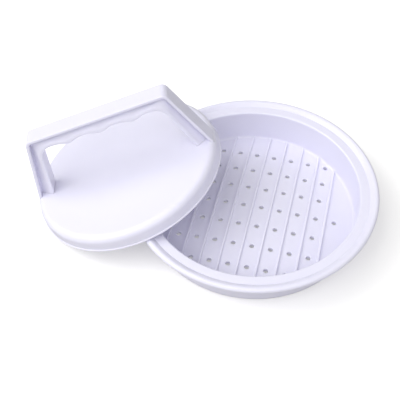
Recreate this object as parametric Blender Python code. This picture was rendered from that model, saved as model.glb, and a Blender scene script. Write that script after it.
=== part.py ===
"""Patty press: a perforated dish, and a hollow press head with an arch handle leaning on its rim.

Lengths are written in millimetres and turned into metres where the meshes are made.
The dish stands on z = 0.  X runs across the dish's ribs and Y along them.
"""
from math import cos, hypot, pi, radians, sin, sqrt, tan

import bmesh
import bpy
from mathutils import Matrix, Vector

MM = 0.001
GAP = 0.3                     # kept between pieces that touch
CUT = 2.0                     # how far cutting tools run past what they cut

# Dish
RIM_R = 62.5                  # outer radius of the rolled rim
RIM_TOP = 22.95               # height of the rim above the table
BEAD_R = 1.54                 # half the thickness of the rolled edge
BEAD_NECK = 2.4               # where the flange starts to swell into the rolled edge
HUMP_POWER = 1.2              # how roundly the rolled edge falls to the ledge
GROOVE_R = 57.9               # line where the rolled edge meets the ledge
LEDGE_Z = 21.3                # flat ledge inside the rolled edge
LEDGE_EDGE = 1.0              # rounding from the ledge into the bowl
WELL_TOP_R = 53.1             # bowl radius under the ledge
WELL_LOW_R = 52.8             # bowl radius above the floor fillet
FLOOR_FILLET = 1.5
FLOOR_TOP = 6.03              # crown of the domed floor
FLOOR_DOME = 3.4              # how far the floor falls from its crown to the bowl wall
FLOOR_T = 1.8
WALL_T = 2.0
BASE_FILLET = 5.0             # outer rounding between wall and foot ring
FOOT_W = 1.3                  # width of the foot ring's flat
FLANGE_UNDER_Z = 19.4
FLANGE_BRACE = 0.8            # bevel between the wall and the flange

# Ribs and drain holes in the floor
RIB_PITCH = 9.47
RIB_COUNT = 9
RIB_W = 1.1
RIB_H = 1.0
RIB_ROOT = 0.8                # how far a rib is let into the floor and the wall
HOLE_R = 1.2
HOLE_ROW_PITCH = 12.32
HOLE_ROWS = 3                 # rows on each side of the middle row
HOLE_COLUMNS = 4              # columns on each side of the middle rib

# Press head
HEAD_R = 50.36                # outer radius of the lip
LIP_H = 0.8
LIP_STEP = 0.5
LIP_BEVEL = 0.2
HEAD_H = 8.1
SHOULDER_R = 3.7
DRAFT = radians(4)
HEAD_WALL = 2.05
INNER_DRAFT = 0.3             # the hollow is this much narrower at the ceiling than at the lip
CEILING_Z = 5.7
CEILING_FILLET = 1.5

# Handle, measured from the lip plane: X along the handle, Z up from the head
HANDLE_TOP = 43.45
HANDLE_HALF_TOP = 36.65       # half length of the bar at its top, to the sharp corner
LEG_SLOPE = 0.327             # outward run of a leg's outer face per unit of drop
INNER_HALF_TOP = 32.0         # half opening where the leg's inner edge meets the bar
INNER_SLOPE = 0.257
BAR_UNDER = 36.8
HANDLE_HALF_W = 5.0
STRAP_T = 1.5
INNER_FLANGE_T = 1.6          # flat front of the grip beside the finger opening
WEB_T = 1.8                   # thickness where the sloping grip meets the strap
POCKET_FOOT = 0.4             # width of the pocket at its deepest
POCKET_CORNER_R = 1.4
OUTER_CORNER_R = 3.5
INNER_CORNER_R = 7.0
SCALLOP_PITCH = 17.2
SCALLOP_DEPTH = 1.6
SCALLOPS = 4
LEG_END_Z = 5.0               # legs are drawn down to here, then cut to the head

# Snap tongues under the handle's feet
TONGUE_FROM = 40.0
TONGUE_TO = 45.5
TONGUE_END_Z = 3.6
TONGUE_ROOT_Z = 11.0          # tongues start inside the web, above the foot
BARB = 1.1

# How the head leans on the dish
LEAN = radians(18.67)
LEAN_TOWARDS = radians(183.0)
HANDLE_TURN = radians(20.4)
HEAD_AT = (-65.2, -1.9, 16.33)  # middle of the lip plane from the dish's axis on the table

SEGMENTS = 64


# ---------------------------------------------------------------- outlines

def arc(centre, radius, start, end, steps):
    """Points of an arc from angle start to angle end, in degrees."""
    points = []
    for i in range(steps + 1):
        angle = radians(start + (end - start) * i / steps)
        points.append((centre[0] + radius * cos(angle), centre[1] + radius * sin(angle)))
    return points


def rounded(corners, steps=6):
    """A closed outline whose corners (x, y, radius) are replaced by arcs."""
    outline = []
    count = len(corners)
    for i, (x, y, radius) in enumerate(corners):
        corner = Vector((x, y))
        if radius == 0:
            outline.append((x, y))
            continue
        before = (Vector(corners[i - 1][:2]) - corner).normalized()
        after = (Vector(corners[(i + 1) % count][:2]) - corner).normalized()
        half = before.angle(after) / 2
        centre = corner + (before + after).normalized() * (radius / sin(half))
        first = corner + before * (radius / tan(half)) - centre
        last = corner + after * (radius / tan(half)) - centre
        for k in range(steps + 1):
            spoke = first.lerp(last, k / steps).normalized() * radius
            outline.append(tuple(centre + spoke))
    return outline


def floor_z(r):
    """Height of the domed floor at radius r."""
    return FLOOR_TOP - FLOOR_DOME * (r / WELL_TOP_R) ** 2


def dish_profile():
    """Half section of the dish, from the axis underneath to the axis on top."""
    wall_r = WELL_LOW_R + WALL_T
    wall_top_r = WELL_TOP_R + WALL_T
    foot_out = wall_r - BASE_FILLET
    foot_in = foot_out - FOOT_W
    bead_r = RIM_R - BEAD_R
    bead_z = RIM_TOP - BEAD_R
    radii = [foot_in * t for t in (0.0, 0.35, 0.7, 1.0)]
    points = [(r, floor_z(r) - FLOOR_T) for r in radii]
    points.append((foot_in, 0.0))
    points += arc((foot_out, BASE_FILLET), BASE_FILLET, -90, 0, 4)
    points.append((wall_top_r, FLANGE_UNDER_Z - FLANGE_BRACE))
    points.append((wall_top_r + FLANGE_BRACE, FLANGE_UNDER_Z))
    points.append((bead_r - BEAD_NECK, FLANGE_UNDER_Z))
    points += arc((bead_r, bead_z), BEAD_R, -90, 90, 6)
    for t in (0.35, 0.7, 1.0):
        r = bead_r + (GROOVE_R - bead_r) * t
        points.append((r, RIM_TOP + (LEDGE_Z - RIM_TOP) * (1 - cos(pi * t / 2) ** HUMP_POWER)))
    points += arc((WELL_TOP_R + LEDGE_EDGE, LEDGE_Z - LEDGE_EDGE), LEDGE_EDGE, 90, 180, 3)
    fillet_z = floor_z(WELL_LOW_R) + FLOOR_FILLET
    points += arc((WELL_LOW_R - FLOOR_FILLET, fillet_z), FLOOR_FILLET, 0, -80, 3)
    points += [(foot_in * t, floor_z(foot_in * t)) for t in (1.0, 0.75, 0.5, 0.25, 0.0)]
    return points


def head_outside(grow=0.0):
    """Outer half section of the press head from its lip to the middle of its top."""
    lip_r = HEAD_R + grow
    wall_r = lip_r - LIP_STEP
    top = HEAD_H + grow
    shoulder = SHOULDER_R + grow
    shoulder_r = wall_r - tan(DRAFT) * (HEAD_H - SHOULDER_R - LIP_H) - shoulder
    points = [(lip_r, 0.0), (lip_r, LIP_H), (wall_r, LIP_H + LIP_BEVEL)]
    points += arc((shoulder_r, top - shoulder), shoulder, 0, 90, 7)
    points.append((0.0, top))
    return points


def head_profile():
    """Half section of the hollow press head, from the axis on top to the axis underneath."""
    inner_r = HEAD_R - HEAD_WALL
    ceiling_r = inner_r - INNER_DRAFT - CEILING_FILLET
    under = [(0.0, CEILING_Z)]
    under += arc((ceiling_r, CEILING_Z - CEILING_FILLET), CEILING_FILLET, 90, 0, 4)
    under.append((inner_r, 0.0))
    return under + head_outside()


def leg_outer(z, inset=0.0):
    """Half length of the handle at height z, to a leg's outer face moved in by inset."""
    return HANDLE_HALF_TOP + LEG_SLOPE * (HANDLE_TOP - z) - inset * hypot(1, LEG_SLOPE)


def leg_inner(z, inset=0.0):
    """Half length of the finger opening at height z, widened by inset."""
    return INNER_HALF_TOP + INNER_SLOPE * (BAR_UNDER - z) + inset * hypot(1, INNER_SLOPE)


def scallop_z(x):
    """Underside of the bar, with a finger scallop between each pair of soft points."""
    if abs(x) > SCALLOP_PITCH * (SCALLOPS - 1) / 2:
        return BAR_UNDER
    wave = (1 + cos(2 * pi * x / SCALLOP_PITCH)) / 2
    return BAR_UNDER - SCALLOP_DEPTH * wave ** 1.5


def grip_outline():
    """Outer outline of the handle, closed across the feet."""
    low = LEG_END_Z
    return rounded([
        (-leg_outer(low), low, 0),
        (leg_outer(low), low, 0),
        (leg_outer(HANDLE_TOP), HANDLE_TOP, OUTER_CORNER_R),
        (-leg_outer(HANDLE_TOP), HANDLE_TOP, OUTER_CORNER_R),
    ])


def opening_outline():
    """The finger opening, drawn past the feet so that it cuts clean through."""
    low = LEG_END_Z - CUT
    corner = rounded([
        (leg_inner(low), low, 0),
        (leg_inner(BAR_UNDER), BAR_UNDER, INNER_CORNER_R),
        (0.0, BAR_UNDER, 0),
    ], steps=6)[:-1]
    start = corner[-1][0]
    steps = 32
    bar = []
    for i in range(1, steps):
        x = start - 2 * start * i / steps
        bar.append((x, scallop_z(x)))
    left = [(-x, z) for x, z in reversed(corner)]
    return corner + bar + left


def recess_outline(depth):
    """Pocket between the outer strap and the sloping grip, open at the feet.

    depth is 0 at the handle's side face and 1 at the web, where the slope reaches the strap.
    """
    low = LEG_END_Z - CUT
    top = HANDLE_TOP - STRAP_T
    under = BAR_UNDER + INNER_FLANGE_T
    outside = rounded([
        (leg_outer(low, STRAP_T), low, 0),
        (leg_outer(top, STRAP_T), top, OUTER_CORNER_R - STRAP_T),
        (0.0, top, 0),
    ], steps=3)[:-1]
    shallow = rounded([
        (0.0, under, 0),
        (leg_inner(under, INNER_FLANGE_T), under, INNER_CORNER_R + INNER_FLANGE_T),
        (leg_inner(low, INNER_FLANGE_T), low, 0),
    ])[1:]
    foot = STRAP_T + POCKET_FOOT
    deep_z = HANDLE_TOP - foot
    deep = rounded([
        (0.0, deep_z, 0),
        (leg_outer(deep_z, foot), deep_z, POCKET_CORNER_R),
        (leg_outer(low, foot), low, 0),
    ])[1:]
    inside = [(a[0] + (b[0] - a[0]) * depth, a[1] + (b[1] - a[1]) * depth) for a, b in zip(shallow, deep)]
    outer_left = [(-x, z) for x, z in reversed(outside)]
    inner_left = [(-x, z) for x, z in reversed(inside)]
    return outside + outer_left + inner_left + inside


# ---------------------------------------------------------------- mesh helpers

def new_object(name, bm, parent, smooth_deg=35):
    """Turn a bmesh, written in millimetres, into an object."""
    bmesh.ops.recalc_face_normals(bm, faces=bm.faces)
    mesh = bpy.data.meshes.new(name)
    bm.to_mesh(mesh)
    bm.free()
    mesh.transform(Matrix.Scale(MM, 4))
    mesh.shade_smooth()
    mesh.set_sharp_from_angle(angle=radians(smooth_deg))
    obj = bpy.data.objects.new(name, mesh)
    bpy.context.scene.collection.objects.link(obj)
    obj.parent = parent
    return obj


def lathe(profile):
    """Spin a half section, which starts and ends on the Z axis, about that axis."""
    bm = bmesh.new()
    verts = [bm.verts.new((r, 0.0, z)) for r, z in profile]
    edges = [bm.edges.new(pair) for pair in zip(verts, verts[1:])]
    bmesh.ops.spin(bm, geom=verts + edges, cent=(0, 0, 0), axis=(0, 0, 1), angle=2 * pi, steps=SEGMENTS)
    bmesh.ops.remove_doubles(bm, verts=bm.verts, dist=0.001)
    return bm


def prism(outline, y_from, y_to, far_outline=None, bm=None):
    """Extrude an outline in the XZ plane along Y, to the same outline or another with as many points."""
    bm = bm or bmesh.new()
    near = [bm.verts.new((x, y_from, z)) for x, z in outline]
    far = [bm.verts.new((x, y_to, z)) for x, z in far_outline or outline]
    bm.faces.new(near)
    bm.faces.new(list(reversed(far)))
    count = len(outline)
    for i in range(count):
        j = (i + 1) % count
        bm.faces.new((near[i], far[i], far[j], near[j]))
    if far_outline:
        bmesh.ops.triangulate(bm, faces=[face for face in bm.faces if len(face.verts) == 4])
    return bm


def boolean(target, tool, operation):
    """Add an exact boolean and hide the tool object."""
    tool.hide_render = True
    tool.display_type = "WIRE"
    modifier = target.modifiers.new(tool.name, "BOOLEAN")
    modifier.object = tool
    modifier.operation = operation
    modifier.solver = "EXACT"


def empty(name, parent, matrix):
    """An empty that places a group of pieces."""
    obj = bpy.data.objects.new(name, None)
    bpy.context.scene.collection.objects.link(obj)
    obj.parent = parent
    obj.matrix_basis = matrix
    return obj


def plastic(name, colour, roughness):
    """White moulded plastic."""
    material = bpy.data.materials.new(name)
    material.use_nodes = True
    shader = material.node_tree.nodes["Principled BSDF"]
    shader.inputs["Base Color"].default_value = (*colour, 1.0)
    shader.inputs["Roughness"].default_value = roughness
    shader.inputs["Metallic"].default_value = 0.0
    return material


# ---------------------------------------------------------------- pieces

def make_ribs(parent):
    """Nine raised ribs that follow the dome and run into the bowl wall."""
    bm = bmesh.new()
    steps = 8
    for i in range(RIB_COUNT):
        x = (i - (RIB_COUNT - 1) / 2) * RIB_PITCH
        reach = sqrt((WELL_LOW_R + RIB_ROOT) ** 2 - x ** 2)
        rings = []
        for k in range(steps + 1):
            y = reach * (2 * k / steps - 1)
            top = floor_z(hypot(x, y)) + RIB_H
            half = RIB_W / 2
            low = top - RIB_H - RIB_ROOT
            section = [(x - half, low), (x + half, low), (x + half, top), (x - half, top)]
            rings.append([bm.verts.new((sx, y, sz)) for sx, sz in section])
        for a, b in zip(rings, rings[1:]):
            for k in range(4):
                bm.faces.new((a[k], a[(k + 1) % 4], b[(k + 1) % 4], b[k]))
        bm.faces.new(list(reversed(rings[0])))
        bm.faces.new(rings[-1])
    return new_object("rib_tool", bm, parent)


def hole_places():
    """Centres of the drain holes: a grid between the ribs, with one more at each end of its middle row."""
    places = []
    for row in range(-HOLE_ROWS, HOLE_ROWS + 1):
        columns = HOLE_COLUMNS + (row == 0)
        for column in range(-columns, columns):
            places.append(((column + 0.5) * RIB_PITCH, row * HOLE_ROW_PITCH))
    return places


def make_hole_tool(parent):
    """One tool with a pin for every drain hole."""
    bm = bmesh.new()
    for x, y in hole_places():
        middle = floor_z(hypot(x, y)) - FLOOR_T / 2
        bmesh.ops.create_cone(
            bm, cap_ends=True, segments=8, radius1=HOLE_R, radius2=HOLE_R,
            depth=FLOOR_T * 3, matrix=Matrix.Translation((x, y, middle)),
        )
    return new_object("hole_tool", bm, parent)


def make_dish(parent):
    dish = new_object("dish", lathe(dish_profile()), parent)
    dish.data.materials.append(plastic("dish_plastic", (0.84, 0.84, 0.89), 0.32))
    boolean(dish, make_ribs(parent), "UNION")
    boolean(dish, make_hole_tool(parent), "DIFFERENCE")
    return dish


def make_head(parent):
    head = new_object("press_head", lathe(head_profile()), parent)
    head.data.materials.append(plastic("head_plastic", (0.84, 0.84, 0.89), 0.32))
    slots = bmesh.new()
    half = WEB_T / 2 + GAP
    for side in (-1, 1):
        ends = sorted((side * (TONGUE_FROM - GAP), side * (TONGUE_TO + GAP)))
        low = CEILING_Z - CUT
        high = HEAD_H + CUT
        outline = [(ends[0], low), (ends[1], low), (ends[1], high), (ends[0], high)]
        prism(outline, -half, half, bm=slots)
    boolean(head, new_object("slot_tool", slots, parent), "DIFFERENCE")
    return head


def make_tongues(parent):
    """Tongues below the web, each with a barb that catches under the head's plate."""
    bm = bmesh.new()
    half = WEB_T / 2
    catch_z = CEILING_Z - GAP
    for side in (-1, 1):
        x_near, x_far = sorted((side * TONGUE_FROM, side * TONGUE_TO))
        section = [
            (-half, TONGUE_ROOT_Z), (-half, catch_z), (-half - BARB, catch_z), (-half, TONGUE_END_Z),
            (half, TONGUE_END_Z), (half + BARB, catch_z), (half, catch_z), (half, TONGUE_ROOT_Z),
        ]
        near = [bm.verts.new((x_near, y, z)) for y, z in section]
        far = [bm.verts.new((x_far, y, z)) for y, z in section]
        bm.faces.new(near)
        bm.faces.new(list(reversed(far)))
        for i in range(len(section)):
            j = (i + 1) % len(section)
            bm.faces.new((near[i], far[i], far[j], near[j]))
    return new_object("tongue_tool", bm, parent)


def make_handle(parent):
    half = HANDLE_HALF_W
    handle = new_object("handle", prism(grip_outline(), -half, half), parent)
    handle.data.materials.append(plastic("handle_plastic", (0.84, 0.84, 0.89), 0.32))
    opening = new_object("opening_tool", prism(opening_outline(), -2 * half, 2 * half), parent)
    boolean(handle, opening, "DIFFERENCE")
    web = WEB_T / 2
    outside = half + CUT
    past = recess_outline(-CUT / (half - web))
    for name, side in (("front", -1), ("back", 1)):
        pocket = prism(past, side * outside, side * web, recess_outline(1.0))
        recess = new_object(name + "_recess_tool", pocket, parent)
        boolean(handle, recess, "DIFFERENCE")
    saddle = [(0.0, -CUT), (HEAD_R + GAP, -CUT)] + head_outside(GAP)[1:]
    seat = new_object("saddle_tool", lathe(saddle), parent)
    boolean(handle, seat, "DIFFERENCE")
    boolean(handle, make_tongues(parent), "UNION")
    return handle


def lean_matrix():
    """Places the press head: it leans over the rim with one edge on the table."""
    tilt_axis = Vector((cos(LEAN_TOWARDS + pi / 2), sin(LEAN_TOWARDS + pi / 2), 0.0))
    place = Matrix.Translation(Vector(HEAD_AT) * MM)
    return place @ Matrix.Rotation(LEAN, 4, tilt_axis) @ Matrix.Rotation(HANDLE_TURN, 4, "Z")


def world_box(objects):
    """Lowest and highest corners of the finished objects."""
    depsgraph = bpy.context.evaluated_depsgraph_get()
    corners = []
    for obj in objects:
        evaluated = obj.evaluated_get(depsgraph)
        mesh = evaluated.to_mesh()
        corners += [evaluated.matrix_world @ vert.co for vert in mesh.vertices]
        evaluated.to_mesh_clear()
    low = Vector([min(c[i] for c in corners) for i in range(3)])
    high = Vector([max(c[i] for c in corners) for i in range(3)])
    return low, high


def main():
    for obj in list(bpy.data.objects):
        bpy.data.objects.remove(obj)
    stand = empty("stand", None, Matrix.Identity(4))
    lean = empty("press_lean", stand, lean_matrix())
    pieces = [make_dish(stand), make_head(lean), make_handle(lean)]
    bpy.context.view_layer.update()
    low, high = world_box(pieces)
    middle = (low + high) / 2
    stand.location = (-middle.x, -middle.y, 0.0)
    bpy.context.view_layer.update()
    print("dish axis at", [round(v, 5) for v in stand.location], "box", list(high - low))


main()
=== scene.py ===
"""Looks of the patty press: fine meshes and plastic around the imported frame, with studio light and camera.

Lengths are in millimetres until a mesh is made.  The dish's axis comes from the frame, and the
press head and its handle are drawn in the head's own axes, then leaned as the frame leans them.
"""
from math import cos, hypot, pi, radians, sin, sqrt, tan

import bmesh
import bpy
from mathutils import Matrix, Quaternion, Vector


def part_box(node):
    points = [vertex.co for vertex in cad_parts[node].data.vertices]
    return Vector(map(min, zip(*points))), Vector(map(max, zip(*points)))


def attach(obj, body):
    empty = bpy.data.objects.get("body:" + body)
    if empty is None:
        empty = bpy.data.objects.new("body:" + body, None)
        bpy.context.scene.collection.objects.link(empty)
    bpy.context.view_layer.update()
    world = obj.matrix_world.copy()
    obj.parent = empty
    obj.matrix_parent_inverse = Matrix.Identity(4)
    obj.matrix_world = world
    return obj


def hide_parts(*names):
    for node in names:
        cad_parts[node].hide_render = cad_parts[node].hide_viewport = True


MM = 0.001

# Dish
RIM_R = 62.5                  # outer radius of the rolled rim
RIM_TOP = 22.95               # height of the rim above the table
BEAD_R = 1.54                 # radius of the rolled edge
BEAD_NECK = 2.4               # where the flange starts to swell into the rolled edge
HUMP_POWER = 1.2              # how squarely the rim falls to the ledge
GROOVE_R = 57.9               # foot of the rim's inner slope, where the ledge starts
GROOVE_DEPTH = 0.08
LEDGE_Z = 21.3
LEDGE_EDGE = 1.0              # rounding where the ledge turns down into the bowl
WELL_TOP_R = 53.1             # inner radius of the bowl under the ledge
WELL_LOW_R = 52.8             # and at its floor
FLOOR_FILLET = 1.5
FLOOR_TOP = 6.03              # height of the floor in the middle
FLOOR_DOME = 3.4              # how much lower the floor is at the wall
FLOOR_T = 1.8
WALL_T = 2.0
BASE_FILLET = 5.0             # rounding between the wall and the foot
FOOT_W = 1.3                  # width of the ring that the dish stands on
FOOT_LEAD = 1.1               # the floor's underside turns towards the ring this far inside it
FOOT_FLARE = 0.2              # slope of the ring's inner side
FOOT_FILLET = 0.4
FOOT_EDGE = 0.25
FLANGE_UNDER_Z = 19.4         # underside of the flange
FLANGE_FILLET = 0.9           # between the wall and the flange
NECK_FILLET = 3.0             # between the flange and the rolled edge

# Ribs and drain holes
RIB_PITCH = 9.47
RIB_COUNT = 9
RIB_W = 1.1
RIB_H = 1.0
RIB_ROOT = 0.8                # how far a rib is sunk into the floor and the wall
RIB_EDGE = 0.22               # rounding of a rib's top edges
RIB_DRAFT = 0.04              # a rib is this much wider on each side at its foot
RIB_PAST = 0.1                # and keeps that width this far into the floor
HOLE_R = 1.2
HOLE_EDGE = 0.15              # rounding of a hole's mouths
PIN_PAST = 1.0                # how far the cutting pins run past the floor
HOLE_ROW_PITCH = 12.32
HOLE_ROWS = 3                 # rows on each side of the middle row
HOLE_COLUMNS = 4              # holes on each side of the middle in a row

# Press head, in its own axes
HEAD_R = 50.36
LIP_H = 0.8                   # height of the thin lip round the head
LIP_STEP = 0.5                # how far the lip stands out from the wall
LIP_EDGE = 0.25
HEAD_H = 8.1
HEAD_SINK = 0.28              # the middle of the top lies this much below its shoulder
SINK_RUN = 11.0               # and rises to it over this distance
SHOULDER_R = 3.7
DRAFT = radians(4)
HEAD_WALL = 2.05              # from the lip's outside to the hollow
INNER_DRAFT = 0.3             # the hollow is this much narrower at the ceiling
CEILING_Z = 5.7
CEILING_FILLET = 1.5

# Handle, in the head's axes: X along the handle, Z up from the lip plane
HANDLE_TOP = 43.45
HANDLE_HALF_TOP = 36.65       # half length of the bar at its top, to the sharp corner
LEG_SLOPE = 0.327             # outward run of a leg's outer face per unit of drop
INNER_HALF_TOP = 32.0         # half length of the finger opening at its top
INNER_SLOPE = 0.257
BAR_UNDER = 36.8              # top of the finger opening
HANDLE_HALF_W = 5.0
STRAP_T = 1.5
INNER_FLANGE_T = 1.6          # flat front of the grip beside the opening
WEB_T = 1.8                   # thickness where the sloping grip meets the strap
OUTER_CORNER_R = 3.5
INNER_CORNER_R = 7.0
SCALLOP_PITCH = 17.2
SCALLOP_DEPTH = 1.6
SCALLOPS = 4
SCALLOP_POWER = 1.5           # above 1, the points between the fingers are narrower
STRAP_EDGE = 0.35             # rounding along the strap's outer edges
STRAP_INNER_EDGE = 0.245      # and along its inner ones
FLANGE_EDGE = 0.5             # rounding along the edge of the finger opening
WEB_FILLET = 0.5              # rounding where the sloping grip meets the strap
LAND_EDGE = 0.8               # rounding between the slope and the grip's flat front
JOINT_LINE = 0.06             # hairline left between a foot and the head
LEG_SEARCH = 1.2              # a foot is looked for this far down a leg, in leg lengths
HALVINGS = 40                 # by halving so many times

# Snap tongues and their slots
TONGUE_FROM = 40.0            # each tongue runs from here
TONGUE_TO = 45.5              # to here along the handle
TONGUE_END_Z = 3.6
TONGUE_ROOT = 0.5             # a tongue starts this far below the head's shoulder height
TONGUE_HALF = 0.8
SLOT_HALF = 0.9
SLOT_GAP = 0.3
SLOT_PAST = 2.0               # how far the slot cutters run past the head's plate
TONGUE_EDGE = 0.12            # bevel of a tongue's edges
BARB = 1.1                    # how far a barb stands out

# How the head leans on the dish
LEAN = radians(18.67)
LEAN_TOWARDS = radians(183.0)
HANDLE_TURN = radians(20.4)
HEAD_AT = (-65.2, -1.9, 16.33)  # middle of the lip plane from the dish's axis on the table

# Camera, from the dish's axis on the table
AIM = (-28.85, 2.17, 0.0)
AIM_DISTANCE = 378.6          # from the camera to the point it aims at
HEADING = radians(105.812)
PITCH = radians(50.902)
ROLL = radians(-2.023)
LENS = 63.555
SENSOR_W = 36.0

# Stage
FLOOR_REACH = 600.0
BOX_SIZE = 0.8                # soft boxes, in metres
BOX_DISTANCE = 1.2

# Fineness of the meshes
SEGMENTS = 288                # round the dish and the head
LEG_STEPS = 26
CORNER_STEPS = 12
BAR_STEPS = 96
RIB_STEPS = 64
HOLE_SEGMENTS = 32
FLARE_STEPS = 4

# Plastic; noise scales are per metre, depths in metres
PLASTIC = (0.802, 0.792, 0.917)
CLOUD_SCALE = 38.0
CLOUD_DARK = (0.985, 0.985, 0.99)
CLOUD_LIGHT = (1.012, 1.012, 1.006)
SMEAR_SCALE = 130.0
SMOOTHEST = 0.29
ROUGHEST = 0.37
SCUFF_STRETCH = (900.0, 60.0, 300.0)
SCUFF_ROUGHNESS = 0.12        # what a scuff adds
WAVE_SCALE = 210.0            # slow swell left by the mould
WAVE_DEPTH = 0.00006
WAVE_STRENGTH = 0.25
GRAIN_SCALE = 2600.0
GRAIN_DEPTH = 0.000012
GRAIN_STRENGTH = 0.3
PLASTIC_IOR = 1.49
SCATTER_WEIGHT = 0.5
SCATTER_DEPTH = 0.001

# Studio paper and sky, as the camera sees them and as they light the object
PAPER_SEEN = (0.97, 0.965, 0.96, 1.0)
PAPER_FELT = (0.38, 0.375, 0.37, 1.0)
PAPER_GLOW = 0.18
FIBRE_SCALE = 900.0
SKY_SEEN = (1.0, 1.0, 1.0, 1.0)
SKY_FELT = (0.385, 0.385, 0.385, 1.0)

# Soft boxes: name, direction from +X in degrees, elevation in degrees, watts
SOFT_BOXES = (
    ("left", 185.0, 40.0, 4.7),
    ("top_left", 180.0, 65.0, 2.6),
    ("front_left", 225.0, 40.0, 3.2),
    ("front", 275.0, 60.0, 3.2),
    ("front_right", 310.0, 38.0, 2.6),
)


# ---------------------------------------------------------------- sections

def arc(centre, radius, start, end, steps):
    """Points of an arc from angle start to angle end, in degrees."""
    points = []
    for i in range(steps + 1):
        angle = radians(start + (end - start) * i / steps)
        points.append((centre[0] + radius * cos(angle), centre[1] + radius * sin(angle)))
    return points


def softened(corners, steps=5):
    """An open line through corners (x, y, radius), with an arc at each corner that has a radius."""
    line = []
    for i, (x, y, radius) in enumerate(corners):
        if radius == 0:
            line.append((x, y))
            continue
        corner = Vector((x, y))
        before = (Vector(corners[i - 1][:2]) - corner).normalized()
        after = (Vector(corners[i + 1][:2]) - corner).normalized()
        half = before.angle(after) / 2
        centre = corner + (before + after).normalized() * (radius / sin(half))
        first = corner + before * (radius / tan(half)) - centre
        last = corner + after * (radius / tan(half)) - centre
        for k in range(steps + 1):
            line.append(tuple(centre + first.lerp(last, k / steps).normalized() * radius))
    return line


def ease(t):
    """Rises smoothly from 0 to 1."""
    t = min(max(t, 0.0), 1.0)
    return (1 - cos(pi * t)) / 2


def between(a, b, steps):
    """Evenly spaced values after a, up to and including b."""
    return [a + (b - a) * i / steps for i in range(1, steps + 1)]


def floor_z(r):
    """Height of the domed floor at radius r."""
    return FLOOR_TOP - FLOOR_DOME * (r / WELL_TOP_R) ** 2


def rim_z(r):
    """Height of the rolled rim's top, from its crown in to the ledge."""
    bead = RIM_R - BEAD_R
    t = (bead - r) / (bead - GROOVE_R)
    return RIM_TOP - (RIM_TOP - LEDGE_Z) * (1 - cos(pi * t / 2) ** HUMP_POWER)


def dish_section():
    """Half section of the dish, from the axis underneath to the axis on top."""
    wall_r = WELL_LOW_R + WALL_T
    foot_out = wall_r - BASE_FILLET
    foot_in = foot_out - FOOT_W
    bead = RIM_R - BEAD_R
    bead_z = RIM_TOP - BEAD_R
    inner_foot = foot_in - FOOT_FLARE
    lead_in = foot_in - FOOT_LEAD
    line = [(r, floor_z(r) - FLOOR_T) for r in between(0.0, lead_in - 0.1, 40)]
    line.insert(0, (0.0, FLOOR_TOP - FLOOR_T))
    line += softened([
        (lead_in, floor_z(lead_in) - FLOOR_T, 0),
        (inner_foot, floor_z(inner_foot) - FLOOR_T, FOOT_FILLET),
        (foot_in, 0.0, FOOT_EDGE),
        (foot_out, 0.0, 0),
    ])
    line += arc((foot_out, BASE_FILLET), BASE_FILLET, -90, 0, 12)[1:]
    wall_top_r = WELL_TOP_R + WALL_T
    line += [(wall_r + (wall_top_r - wall_r) * t, BASE_FILLET + (FLANGE_UNDER_Z - 1.0 - BASE_FILLET) * t)
             for t in (0.25, 0.5, 0.75)]
    line += softened([
        (wall_top_r - 0.02, FLANGE_UNDER_Z - 1.5, 0),
        (wall_top_r, FLANGE_UNDER_Z, FLANGE_FILLET),
        (bead - BEAD_NECK, FLANGE_UNDER_Z, NECK_FILLET),
        (bead - 0.35, bead_z - BEAD_R + 0.06, 0),
    ])
    line += arc((bead, bead_z), BEAD_R, -90, 90, 22)
    line += [(r, rim_z(r)) for r in between(bead, GROOVE_R + 0.3, 12)]
    line += [(GROOVE_R + 0.1, LEDGE_Z - GROOVE_DEPTH * 0.6), (GROOVE_R, LEDGE_Z - GROOVE_DEPTH)]
    line += [(GROOVE_R - 0.12, LEDGE_Z - GROOVE_DEPTH * 0.7), (GROOVE_R - 0.35, LEDGE_Z)]
    line += [(GROOVE_R - 1.5, LEDGE_Z), (WELL_TOP_R + LEDGE_EDGE + 1.0, LEDGE_Z)]
    line += arc((WELL_TOP_R + LEDGE_EDGE, LEDGE_Z - LEDGE_EDGE), LEDGE_EDGE, 90, 180, 10)
    fillet_z = floor_z(WELL_LOW_R - FLOOR_FILLET) + FLOOR_FILLET
    for z in between(LEDGE_Z - LEDGE_EDGE, fillet_z, 10)[:-1]:
        t = (LEDGE_Z - LEDGE_EDGE - z) / (LEDGE_Z - LEDGE_EDGE - fillet_z)
        line.append((WELL_TOP_R + (WELL_LOW_R - WELL_TOP_R) * t, z))
    line += arc((WELL_LOW_R - FLOOR_FILLET, fillet_z), FLOOR_FILLET, 0, -84, 10)
    inside = WELL_LOW_R - FLOOR_FILLET
    line += [(r, floor_z(r)) for r in between(inside, 0.0, 60)]
    return line


def shoulder():
    """Radius where the head's shoulder starts to fall, and the height of the shoulder's centre."""
    wall_r = HEAD_R - LIP_STEP
    return wall_r - tan(DRAFT) * (HEAD_H - SHOULDER_R - LIP_H) - SHOULDER_R, HEAD_H - SHOULDER_R


def head_z(r):
    """Height of the head's top at radius r, over the shoulder as far as its steep side."""
    start, centre_z = shoulder()
    if r <= start:
        return HEAD_H - HEAD_SINK * ease((start - r) / SINK_RUN)
    run = min(r - start, SHOULDER_R * 0.999)
    return centre_z + sqrt(SHOULDER_R ** 2 - run ** 2)


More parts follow.
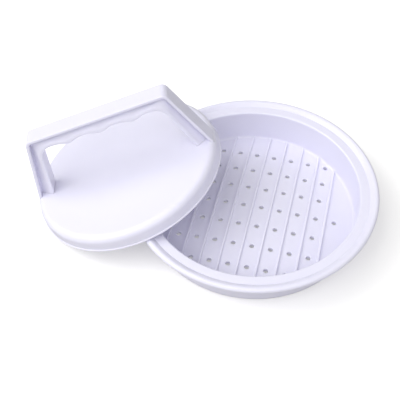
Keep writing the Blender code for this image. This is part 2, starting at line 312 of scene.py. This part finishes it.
def head_section():
    """Half section of the hollow head, from the axis on top to the axis underneath."""
    start, centre_z = shoulder()
    line = [(r, head_z(r)) for r in between(0.0, start, 70)]
    line.insert(0, (0.0, head_z(0.0)))
    line += arc((start, centre_z), SHOULDER_R, 88, 4, 16)
    wall_r = HEAD_R - LIP_STEP
    inner_r = HEAD_R - HEAD_WALL
    line += softened([
        (wall_r - tan(DRAFT) * 2.0, LIP_H + 2.0, 0),
        (wall_r, LIP_H, 0.15),
        (HEAD_R, LIP_H, LIP_EDGE),
        (HEAD_R, 0.0, LIP_EDGE),
        (inner_r, 0.0, LIP_EDGE),
        (inner_r - INNER_DRAFT, CEILING_Z, CEILING_FILLET),
        (inner_r - INNER_DRAFT - CEILING_FILLET - 0.5, CEILING_Z, 0),
    ], steps=6)
    line += [(r, CEILING_Z) for r in between(inner_r - INNER_DRAFT - CEILING_FILLET - 0.5, 0.0, 50)]
    return line


# ---------------------------------------------------------------- mesh helpers

def new_piece(name, bm, place, smooth_deg=40):
    """Turn a bmesh, in millimetres in its own axes, into an object whose mesh is in the row frame."""
    bmesh.ops.recalc_face_normals(bm, faces=bm.faces)
    mesh = bpy.data.meshes.new(name)
    bm.to_mesh(mesh)
    bm.free()
    mesh.transform(place @ Matrix.Scale(MM, 4))
    mesh.shade_smooth()
    mesh.set_sharp_from_angle(angle=radians(smooth_deg))
    obj = bpy.data.objects.new(name, mesh)
    bpy.context.scene.collection.objects.link(obj)
    return obj


def lathe(section):
    """Spin a half section, which starts and ends on the Z axis, about that axis."""
    bm = bmesh.new()
    start = bm.verts.new((0.0, 0.0, section[0][1]))
    end = bm.verts.new((0.0, 0.0, section[-1][1]))
    columns = []
    for k in range(SEGMENTS):
        angle = 2 * pi * k / SEGMENTS
        rim = [bm.verts.new((r * cos(angle), r * sin(angle), z)) for r, z in section[1:-1]]
        columns.append([start] + rim + [end])
    for k, column in enumerate(columns):
        turned = columns[(k + 1) % SEGMENTS]
        for i in range(len(column) - 1):
            corners = [column[i], turned[i], turned[i + 1], column[i + 1]]
            bm.faces.new([v for n, v in enumerate(corners) if v is not corners[n - 1]])
    return bm


def bridge(bm, rings):
    """Join rings of points into a tube, closed at both ends."""
    loops = [[bm.verts.new(point) for point in ring] for ring in rings]
    count = len(loops[0])
    for near, far in zip(loops, loops[1:]):
        for i in range(count):
            j = (i + 1) % count
            bm.faces.new((near[i], near[j], far[j], far[i]))
    bm.faces.new(list(reversed(loops[0])))
    bm.faces.new(loops[-1])
    return bm


def cut_and_join(obj, tools):
    """Apply exact booleans of (tool, operation) to an object's mesh, and remove the tools."""
    for tool, operation in tools:
        modifier = obj.modifiers.new(tool.name, "BOOLEAN")
        modifier.object = tool
        modifier.operation = operation
        modifier.solver = "EXACT"
    depsgraph = bpy.context.evaluated_depsgraph_get()
    mesh = bpy.data.meshes.new_from_object(obj.evaluated_get(depsgraph), depsgraph=depsgraph)
    obj.modifiers.clear()
    obj.data = mesh
    mesh.name = obj.name
    for tool, _ in tools:
        bpy.data.objects.remove(tool)


def flatten_shading(obj):
    """Let broad faces keep their own normals beside narrow roundings."""
    modifier = obj.modifiers.new("broad_faces_flat", "WEIGHTED_NORMAL")
    modifier.keep_sharp = True
    modifier.weight = 50


# ---------------------------------------------------------------- pieces

def make_ribs(place):
    """Ribs with rounded tops that follow the dome and run into the bowl wall."""
    bm = bmesh.new()
    half = RIB_W / 2
    section = softened([
        (half, -RIB_ROOT, 0),
        (half + RIB_DRAFT, -RIB_PAST, 0),
        (half + RIB_DRAFT, 0.0, 0),
        (half, RIB_H, RIB_EDGE),
        (-half, RIB_H, RIB_EDGE),
        (-half - RIB_DRAFT, 0.0, 0),
        (-half - RIB_DRAFT, -RIB_PAST, 0),
        (-half, -RIB_ROOT, 0),
    ], steps=4)
    for i in range(RIB_COUNT):
        x = (i - (RIB_COUNT - 1) / 2) * RIB_PITCH
        reach = sqrt((WELL_LOW_R + RIB_ROOT) ** 2 - x ** 2)
        rings = []
        for k in range(RIB_STEPS + 1):
            y = reach * (2 * k / RIB_STEPS - 1)
            base = floor_z(hypot(x, y))
            rings.append([(x + sx, y, base + sz) for sx, sz in section])
        bridge(bm, rings)
    return new_piece("rib_tool", bm, place)


def hole_places():
    """Centres of the drain holes: a grid between the ribs, with one more at each end of its middle row."""
    places = []
    for row in range(-HOLE_ROWS, HOLE_ROWS + 1):
        columns = HOLE_COLUMNS + (row == 0)
        for column in range(-columns, columns):
            places.append(((column + 0.5) * RIB_PITCH, row * HOLE_ROW_PITCH))
    return places


def make_hole_tool(place):
    """A pin for every drain hole, flared where it leaves the floor so that the mouths are rounded."""
    bm = bmesh.new()
    turns = [pi / 2 * k / FLARE_STEPS for k in range(FLARE_STEPS + 1)]
    flare = [(HOLE_R + HOLE_EDGE * (1 - cos(a)), -HOLE_EDGE * (1 - sin(a))) for a in turns]
    flare.append((HOLE_R + HOLE_EDGE, PIN_PAST))
    lower = [(r, -FLOOR_T - z) for r, z in reversed(flare)]
    for x, y in hole_places():
        rings = []
        for r, z in lower + flare:
            ring = []
            for k in range(HOLE_SEGMENTS):
                angle = 2 * pi * k / HOLE_SEGMENTS
                px = x + r * cos(angle)
                py = y + r * sin(angle)
                ring.append((px, py, floor_z(hypot(px, py)) + z))
            rings.append(ring)
        bridge(bm, rings)
    return new_piece("hole_tool", bm, place)


def make_dish(place):
    """The dish: a turned body with the ribs joined on and the drain holes cut through."""
    dish = new_piece("perforated_dish", lathe(dish_section()), place, 30)
    cut_and_join(dish, [(make_ribs(place), "UNION"), (make_hole_tool(place), "DIFFERENCE")])
    dish.data.set_sharp_from_angle(angle=radians(35))
    flatten_shading(dish)
    return dish


def make_head(place):
    """The hollow press head: a turned shell with two slots for the handle's tongues."""
    head = new_piece("hollow_press_head", lathe(head_section()), place, 40)
    slots = bmesh.new()
    low = CEILING_Z - SLOT_PAST
    high = HEAD_H + SLOT_PAST
    for side in (-1, 1):
        near = side * (TONGUE_FROM - SLOT_GAP)
        far = side * (TONGUE_TO + SLOT_GAP)
        corners = [(near, -SLOT_HALF), (near, SLOT_HALF), (far, SLOT_HALF), (far, -SLOT_HALF)]
        bridge(slots, [[(x, y, low) for x, y in corners], [(x, y, high) for x, y in corners]])
    cut_and_join(head, [(new_piece("slot_tool", slots, place), "DIFFERENCE")])
    head.data.set_sharp_from_angle(angle=radians(40))
    flatten_shading(head)
    return head


def level(x):
    """A straight bar line."""
    return 0.0


def scallop(x):
    """The underside of the bar at x, from its straight line: lower at each point between two fingers."""
    if abs(x) > SCALLOP_PITCH * (SCALLOPS - 1) / 2:
        return 0.0
    wave = (1 + cos(2 * pi * x / SCALLOP_PITCH)) / 2
    return -SCALLOP_DEPTH * wave ** SCALLOP_POWER


def half_arch(half_top, top_z, slope, corner_r, under):
    """One side of an arch line from the foot to the middle of the bar: leg, corner and bar.

    The leg is given by its sharp corner (half_top, top_z) and slope; under(x) lowers the bar's line.
    """
    down = Vector((slope, -1.0)).normalized()
    along = Vector((-1.0, 0.0))
    corner = Vector((half_top, top_z))
    half = down.angle(along) / 2
    centre = corner + (down + along).normalized() * (corner_r / sin(half))
    leg_top = corner + down * (corner_r / tan(half))
    bar_start = corner + along * (corner_r / tan(half))
    foot = leg_top + down * (leg_top.y / -down.y)
    line = [foot.lerp(leg_top, i / LEG_STEPS) for i in range(LEG_STEPS)]
    first = leg_top - centre
    last = bar_start - centre
    for i in range(CORNER_STEPS):
        line.append(centre + first.lerp(last, i / CORNER_STEPS).normalized() * corner_r)
    for i in range(BAR_STEPS + 1):
        x = bar_start.x * (1 - i / BAR_STEPS)
        line.append(Vector((x, top_z + under(x))))
    return line


def arch_lines():
    """The handle's four lines, matched point for point: outside, strap's inside, top of slope, opening."""
    strap_end = HANDLE_HALF_TOP + LEG_SLOPE * STRAP_T - STRAP_T * hypot(1, LEG_SLOPE)
    flange_end = INNER_HALF_TOP - INNER_SLOPE * INNER_FLANGE_T + INNER_FLANGE_T * hypot(1, INNER_SLOPE)
    return [
        half_arch(HANDLE_HALF_TOP, HANDLE_TOP, LEG_SLOPE, OUTER_CORNER_R, level),
        half_arch(strap_end, HANDLE_TOP - STRAP_T, LEG_SLOPE, OUTER_CORNER_R - STRAP_T, level),
        half_arch(flange_end, BAR_UNDER + INNER_FLANGE_T, INNER_SLOPE,
                  INNER_CORNER_R + INNER_FLANGE_T, scallop),
        half_arch(INNER_HALF_TOP, BAR_UNDER, INNER_SLOPE, INNER_CORNER_R, scallop),
    ]


def rounded_ring(corners, steps=4):
    """A closed ring in space whose corners (point, radius) are replaced by quarter turns."""
    ring = []
    count = len(corners)
    for i, (point, radius) in enumerate(corners):
        before = (corners[i - 1][0] - point).normalized()
        after = (corners[(i + 1) % count][0] - point).normalized()
        centre = point + (before + after) * radius
        for k in range(steps + 1):
            angle = pi / 2 * k / steps
            ring.append(centre - (after * cos(angle) + before * sin(angle)) * radius)
    return ring


def handle_ring(outside, strap, flange, opening):
    """Section at one station: a strap, and a grip whose sides slope in towards it."""
    w = HANDLE_HALF_W
    web = WEB_T / 2

    def at(point, y):
        return Vector((point.x, y, point.y))

    front = [
        (at(outside, -w), STRAP_EDGE), (at(strap, -w), STRAP_INNER_EDGE),
        (at(strap, -web), WEB_FILLET), (at(flange, -w), LAND_EDGE), (at(opening, -w), FLANGE_EDGE),
    ]
    back = [(Vector((p.x, -p.y, p.z)), r) for p, r in reversed(front)]
    return rounded_ring(front + back)


def stand_on_head(low, high):
    """Where the line from high through low meets the head's top, a hairline above it."""
    run = low - high
    near, far = 0.0, LEG_SEARCH
    for _ in range(HALVINGS):
        middle = (near + far) / 2
        point = high + run * middle
        if point.z > head_z(hypot(point.x, point.y)) + JOINT_LINE:
            near = middle
        else:
            far = middle
    return high + run * near


def make_handle(place):
    """Arch handle lofted through its sections, with feet that fit the head."""
    lines = arch_lines()
    half = [handle_ring(*stations) for stations in zip(*lines)]
    top_ring = half[LEG_STEPS]
    feet = [stand_on_head(low, high) for low, high in zip(half[0], top_ring)]
    for i in range(LEG_STEPS):
        half[i] = [foot.lerp(top, i / LEG_STEPS) for foot, top in zip(feet, top_ring)]
    mirrored = [[Vector((-p.x, p.y, p.z)) for p in ring] for ring in reversed(half[:-1])]
    handle = new_piece("arch_handle", bridge(bmesh.new(), half + mirrored), place, 50)
    flatten_shading(handle)
    return handle


def make_tongues(place):
    """The barbed tongues that hold the handle's feet to the head, from below."""
    bm = bmesh.new()
    catch_z = CEILING_Z - SLOT_GAP
    half = TONGUE_HALF
    root_z = HEAD_H - TONGUE_ROOT
    section = [
        (-half, root_z), (-half, catch_z), (-half - BARB, catch_z), (-half, TONGUE_END_Z),
        (half, TONGUE_END_Z), (half + BARB, catch_z), (half, catch_z), (half, root_z),
    ]
    for side in (-1, 1):
        ends = (side * TONGUE_FROM, side * TONGUE_TO)
        bridge(bm, [[(x, y, z) for y, z in section] for x in ends])
    bmesh.ops.recalc_face_normals(bm, faces=bm.faces)
    bmesh.ops.bevel(bm, geom=bm.edges[:], offset=TONGUE_EDGE, segments=2, affect="EDGES",
                    clamp_overlap=True)
    return new_piece("snap_tongues", bm, place)


# ---------------------------------------------------------------- materials

def node(tree, kind, inputs=(), **settings):
    """Add a shader node; inputs are (socket name or number, value or output socket)."""
    made = tree.nodes.new(kind)
    for name, value in settings.items():
        setattr(made, name, value)
    for name, value in inputs:
        if isinstance(value, bpy.types.NodeSocket):
            tree.links.new(value, made.inputs[name])
        else:
            made.inputs[name].default_value = value
    return made


def shade(factors):
    """The plastic's colour times three factors."""
    return tuple(a * b for a, b in zip(PLASTIC, factors)) + (1.0,)


def moulded_plastic(name, seed):
    """Satin white plastic: faint clouding, moulded grain, flow marks and fine scuffs."""
    material = bpy.data.materials.new(name)
    material.use_nodes = True
    tree = material.node_tree
    shader = tree.nodes["Principled BSDF"]
    where = node(tree, "ShaderNodeTexCoord").outputs["Object"]
    moved = node(tree, "ShaderNodeMapping", [("Vector", where), ("Location", (seed, seed * 2, seed * 3))])
    spot = moved.outputs["Vector"]

    cloud = node(tree, "ShaderNodeTexNoise", [("Vector", spot), ("Scale", CLOUD_SCALE), ("Detail", 3.0)])
    tint = node(tree, "ShaderNodeMix", [
        (0, cloud.outputs["Fac"]),
        (6, shade(CLOUD_DARK)),
        (7, shade(CLOUD_LIGHT)),
    ], data_type="RGBA")
    tree.links.new(tint.outputs[2], shader.inputs["Base Color"])

    smear = node(tree, "ShaderNodeTexNoise", [("Vector", spot), ("Scale", SMEAR_SCALE), ("Detail", 4.0)])
    stretched = node(tree, "ShaderNodeMapping", [("Vector", spot), ("Scale", SCUFF_STRETCH)])
    scuff = node(tree, "ShaderNodeTexNoise", [("Vector", stretched.outputs["Vector"]), ("Scale", 1.0),
                                              ("Detail", 2.0)])
    sparse = node(tree, "ShaderNodeMapRange", [(0, scuff.outputs["Fac"]), (1, 0.62), (2, 0.78), (3, 0.0),
                                               (4, SCUFF_ROUGHNESS)])
    gloss = node(tree, "ShaderNodeMapRange", [(0, smear.outputs["Fac"]), (1, 0.3), (2, 0.7),
                                              (3, SMOOTHEST), (4, ROUGHEST)])
    rough = node(tree, "ShaderNodeMath", [(0, gloss.outputs[0]), (1, sparse.outputs[0])], operation="ADD")
    tree.links.new(rough.outputs[0], shader.inputs["Roughness"])

    grain = node(tree, "ShaderNodeTexNoise", [("Vector", spot), ("Scale", GRAIN_SCALE), ("Detail", 2.0)])
    wave = node(tree, "ShaderNodeTexNoise", [("Vector", spot), ("Scale", WAVE_SCALE), ("Detail", 1.0)])
    swell = node(tree, "ShaderNodeBump", [("Strength", WAVE_STRENGTH), ("Distance", WAVE_DEPTH),
                                          ("Height", wave.outputs["Fac"])])
    skin = node(tree, "ShaderNodeBump", [("Strength", GRAIN_STRENGTH), ("Distance", GRAIN_DEPTH),
                                         ("Height", grain.outputs["Fac"]), ("Normal", swell.outputs[0])])
    tree.links.new(skin.outputs[0], shader.inputs["Normal"])
    shader.inputs["IOR"].default_value = PLASTIC_IOR
    shader.inputs["Subsurface Weight"].default_value = SCATTER_WEIGHT
    shader.inputs["Subsurface Radius"].default_value = (1.0, 1.0, 1.0)
    shader.inputs["Subsurface Scale"].default_value = SCATTER_DEPTH
    return material


def seen_or_felt(tree, seen, felt):
    """A colour that the camera sees, and the dimmer one that lights the object, as black flags would."""
    path = node(tree, "ShaderNodeLightPath")
    mixed = node(tree, "ShaderNodeMix", [
        (0, path.outputs["Is Camera Ray"]),
        (6, felt),
        (7, seen),
    ], data_type="RGBA")
    return mixed.outputs[2]


def floor_material():
    """Matt white studio paper with a barely seen fibre, faintly lit from below."""
    material = bpy.data.materials.new("studio_paper")
    material.use_nodes = True
    tree = material.node_tree
    shader = tree.nodes["Principled BSDF"]
    where = node(tree, "ShaderNodeTexCoord").outputs["Object"]
    fibre = node(tree, "ShaderNodeTexNoise", [("Vector", where), ("Scale", FIBRE_SCALE), ("Detail", 3.0)])
    bump = node(tree, "ShaderNodeBump", [("Strength", 0.05), ("Distance", 0.0001),
                                         ("Height", fibre.outputs["Fac"])])
    tree.links.new(bump.outputs[0], shader.inputs["Normal"])
    paper = seen_or_felt(tree, PAPER_SEEN, PAPER_FELT)
    tree.links.new(paper, shader.inputs["Base Color"])
    shader.inputs["Roughness"].default_value = 0.9
    shader.inputs["Specular IOR Level"].default_value = 0.0
    shader.inputs["Emission Color"].default_value = (1.0, 1.0, 1.0, 1.0)
    shader.inputs["Emission Strength"].default_value = PAPER_GLOW
    return material


# ---------------------------------------------------------------- stage

def make_floor():
    """A round sheet of paper, which runs into the white background where it ends."""
    bm = bmesh.new()
    bmesh.ops.create_circle(bm, cap_ends=True, segments=96, radius=FLOOR_REACH)
    floor = new_piece("studio_floor", bm, Matrix.Identity(4))
    floor.data.materials.append(floor_material())


def soft_light(name, azimuth, elevation, watts):
    """A square soft box round the object; azimuth is from +X, in degrees."""
    data = bpy.data.lights.new(name, "AREA")
    data.size = BOX_SIZE
    data.energy = watts
    light = bpy.data.objects.new(name, data)
    bpy.context.scene.collection.objects.link(light)
    a, e = radians(azimuth), radians(elevation)
    out = Vector((cos(a) * cos(e), sin(a) * cos(e), sin(e)))
    light.location = out * BOX_DISTANCE
    light.rotation_mode = "QUATERNION"
    light.rotation_quaternion = (-out).to_track_quat("-Z", "Y")


def make_light():
    """Broad soft boxes: most light comes from the left and the front."""
    world = bpy.data.worlds.new("studio")
    world.use_nodes = True
    bpy.context.scene.world = world
    tree = world.node_tree
    sky = seen_or_felt(tree, SKY_SEEN, SKY_FELT)
    tree.links.new(sky, tree.nodes["Background"].inputs["Color"])
    for box in SOFT_BOXES:
        soft_light(*box)
    bpy.context.scene.view_settings.view_transform = "Standard"


def make_camera(axis):
    """The camera stands where the photographer's did, worked out from the dish's circles and holes."""
    data = bpy.data.cameras.new("camera")
    data.lens = LENS
    data.sensor_width = SENSOR_W
    data.clip_start = 0.01
    data.clip_end = 50.0
    camera = bpy.data.objects.new("camera", data)
    bpy.context.scene.collection.objects.link(camera)
    forward = Vector((cos(HEADING) * cos(PITCH), sin(HEADING) * cos(PITCH), -sin(PITCH)))
    camera.location = axis + Vector(AIM) * MM - forward * AIM_DISTANCE * MM
    camera.rotation_mode = "QUATERNION"
    camera.rotation_quaternion = forward.to_track_quat("-Z", "Y") @ Quaternion((0, 0, 1), ROLL)
    bpy.context.scene.camera = camera


def head_place(axis):
    """The head's own axes in the row frame: leaned towards the table on the dish's left."""
    tilt_axis = Vector((cos(LEAN_TOWARDS + pi / 2), sin(LEAN_TOWARDS + pi / 2), 0.0))
    place = Matrix.Translation(axis + Vector(HEAD_AT) * MM)
    return place @ Matrix.Rotation(LEAN, 4, tilt_axis) @ Matrix.Rotation(HANDLE_TURN, 4, "Z")


def settle(piece, material, body):
    """Give a piece its material, and let it ride its body."""
    piece.data.materials.clear()
    piece.data.materials.append(material)
    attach(piece, body)


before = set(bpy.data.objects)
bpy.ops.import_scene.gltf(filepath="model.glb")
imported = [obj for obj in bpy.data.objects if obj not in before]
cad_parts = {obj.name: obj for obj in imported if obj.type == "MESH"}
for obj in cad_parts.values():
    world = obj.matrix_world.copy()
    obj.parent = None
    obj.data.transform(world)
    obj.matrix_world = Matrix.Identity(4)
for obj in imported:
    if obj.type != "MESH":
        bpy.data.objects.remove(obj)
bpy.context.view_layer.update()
low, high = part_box("dish")
dish_axis = Vector(((low.x + high.x) / 2, (low.y + high.y) / 2, low.z))

dish = make_dish(Matrix.Translation(dish_axis))
settle(dish, moulded_plastic("dish_moulding", 0.3), "dish")
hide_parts("dish")

leaned = head_place(dish_axis)
head = make_head(leaned)
settle(head, moulded_plastic("head_moulding", 0.9), "press")
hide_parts("press_head")

grip = moulded_plastic("handle_moulding", 1.7)
handle = make_handle(leaned)
settle(handle, grip, "press")
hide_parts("handle")
settle(make_tongues(leaned), grip, "press")

make_floor()
make_light()
make_camera(dish_axis)
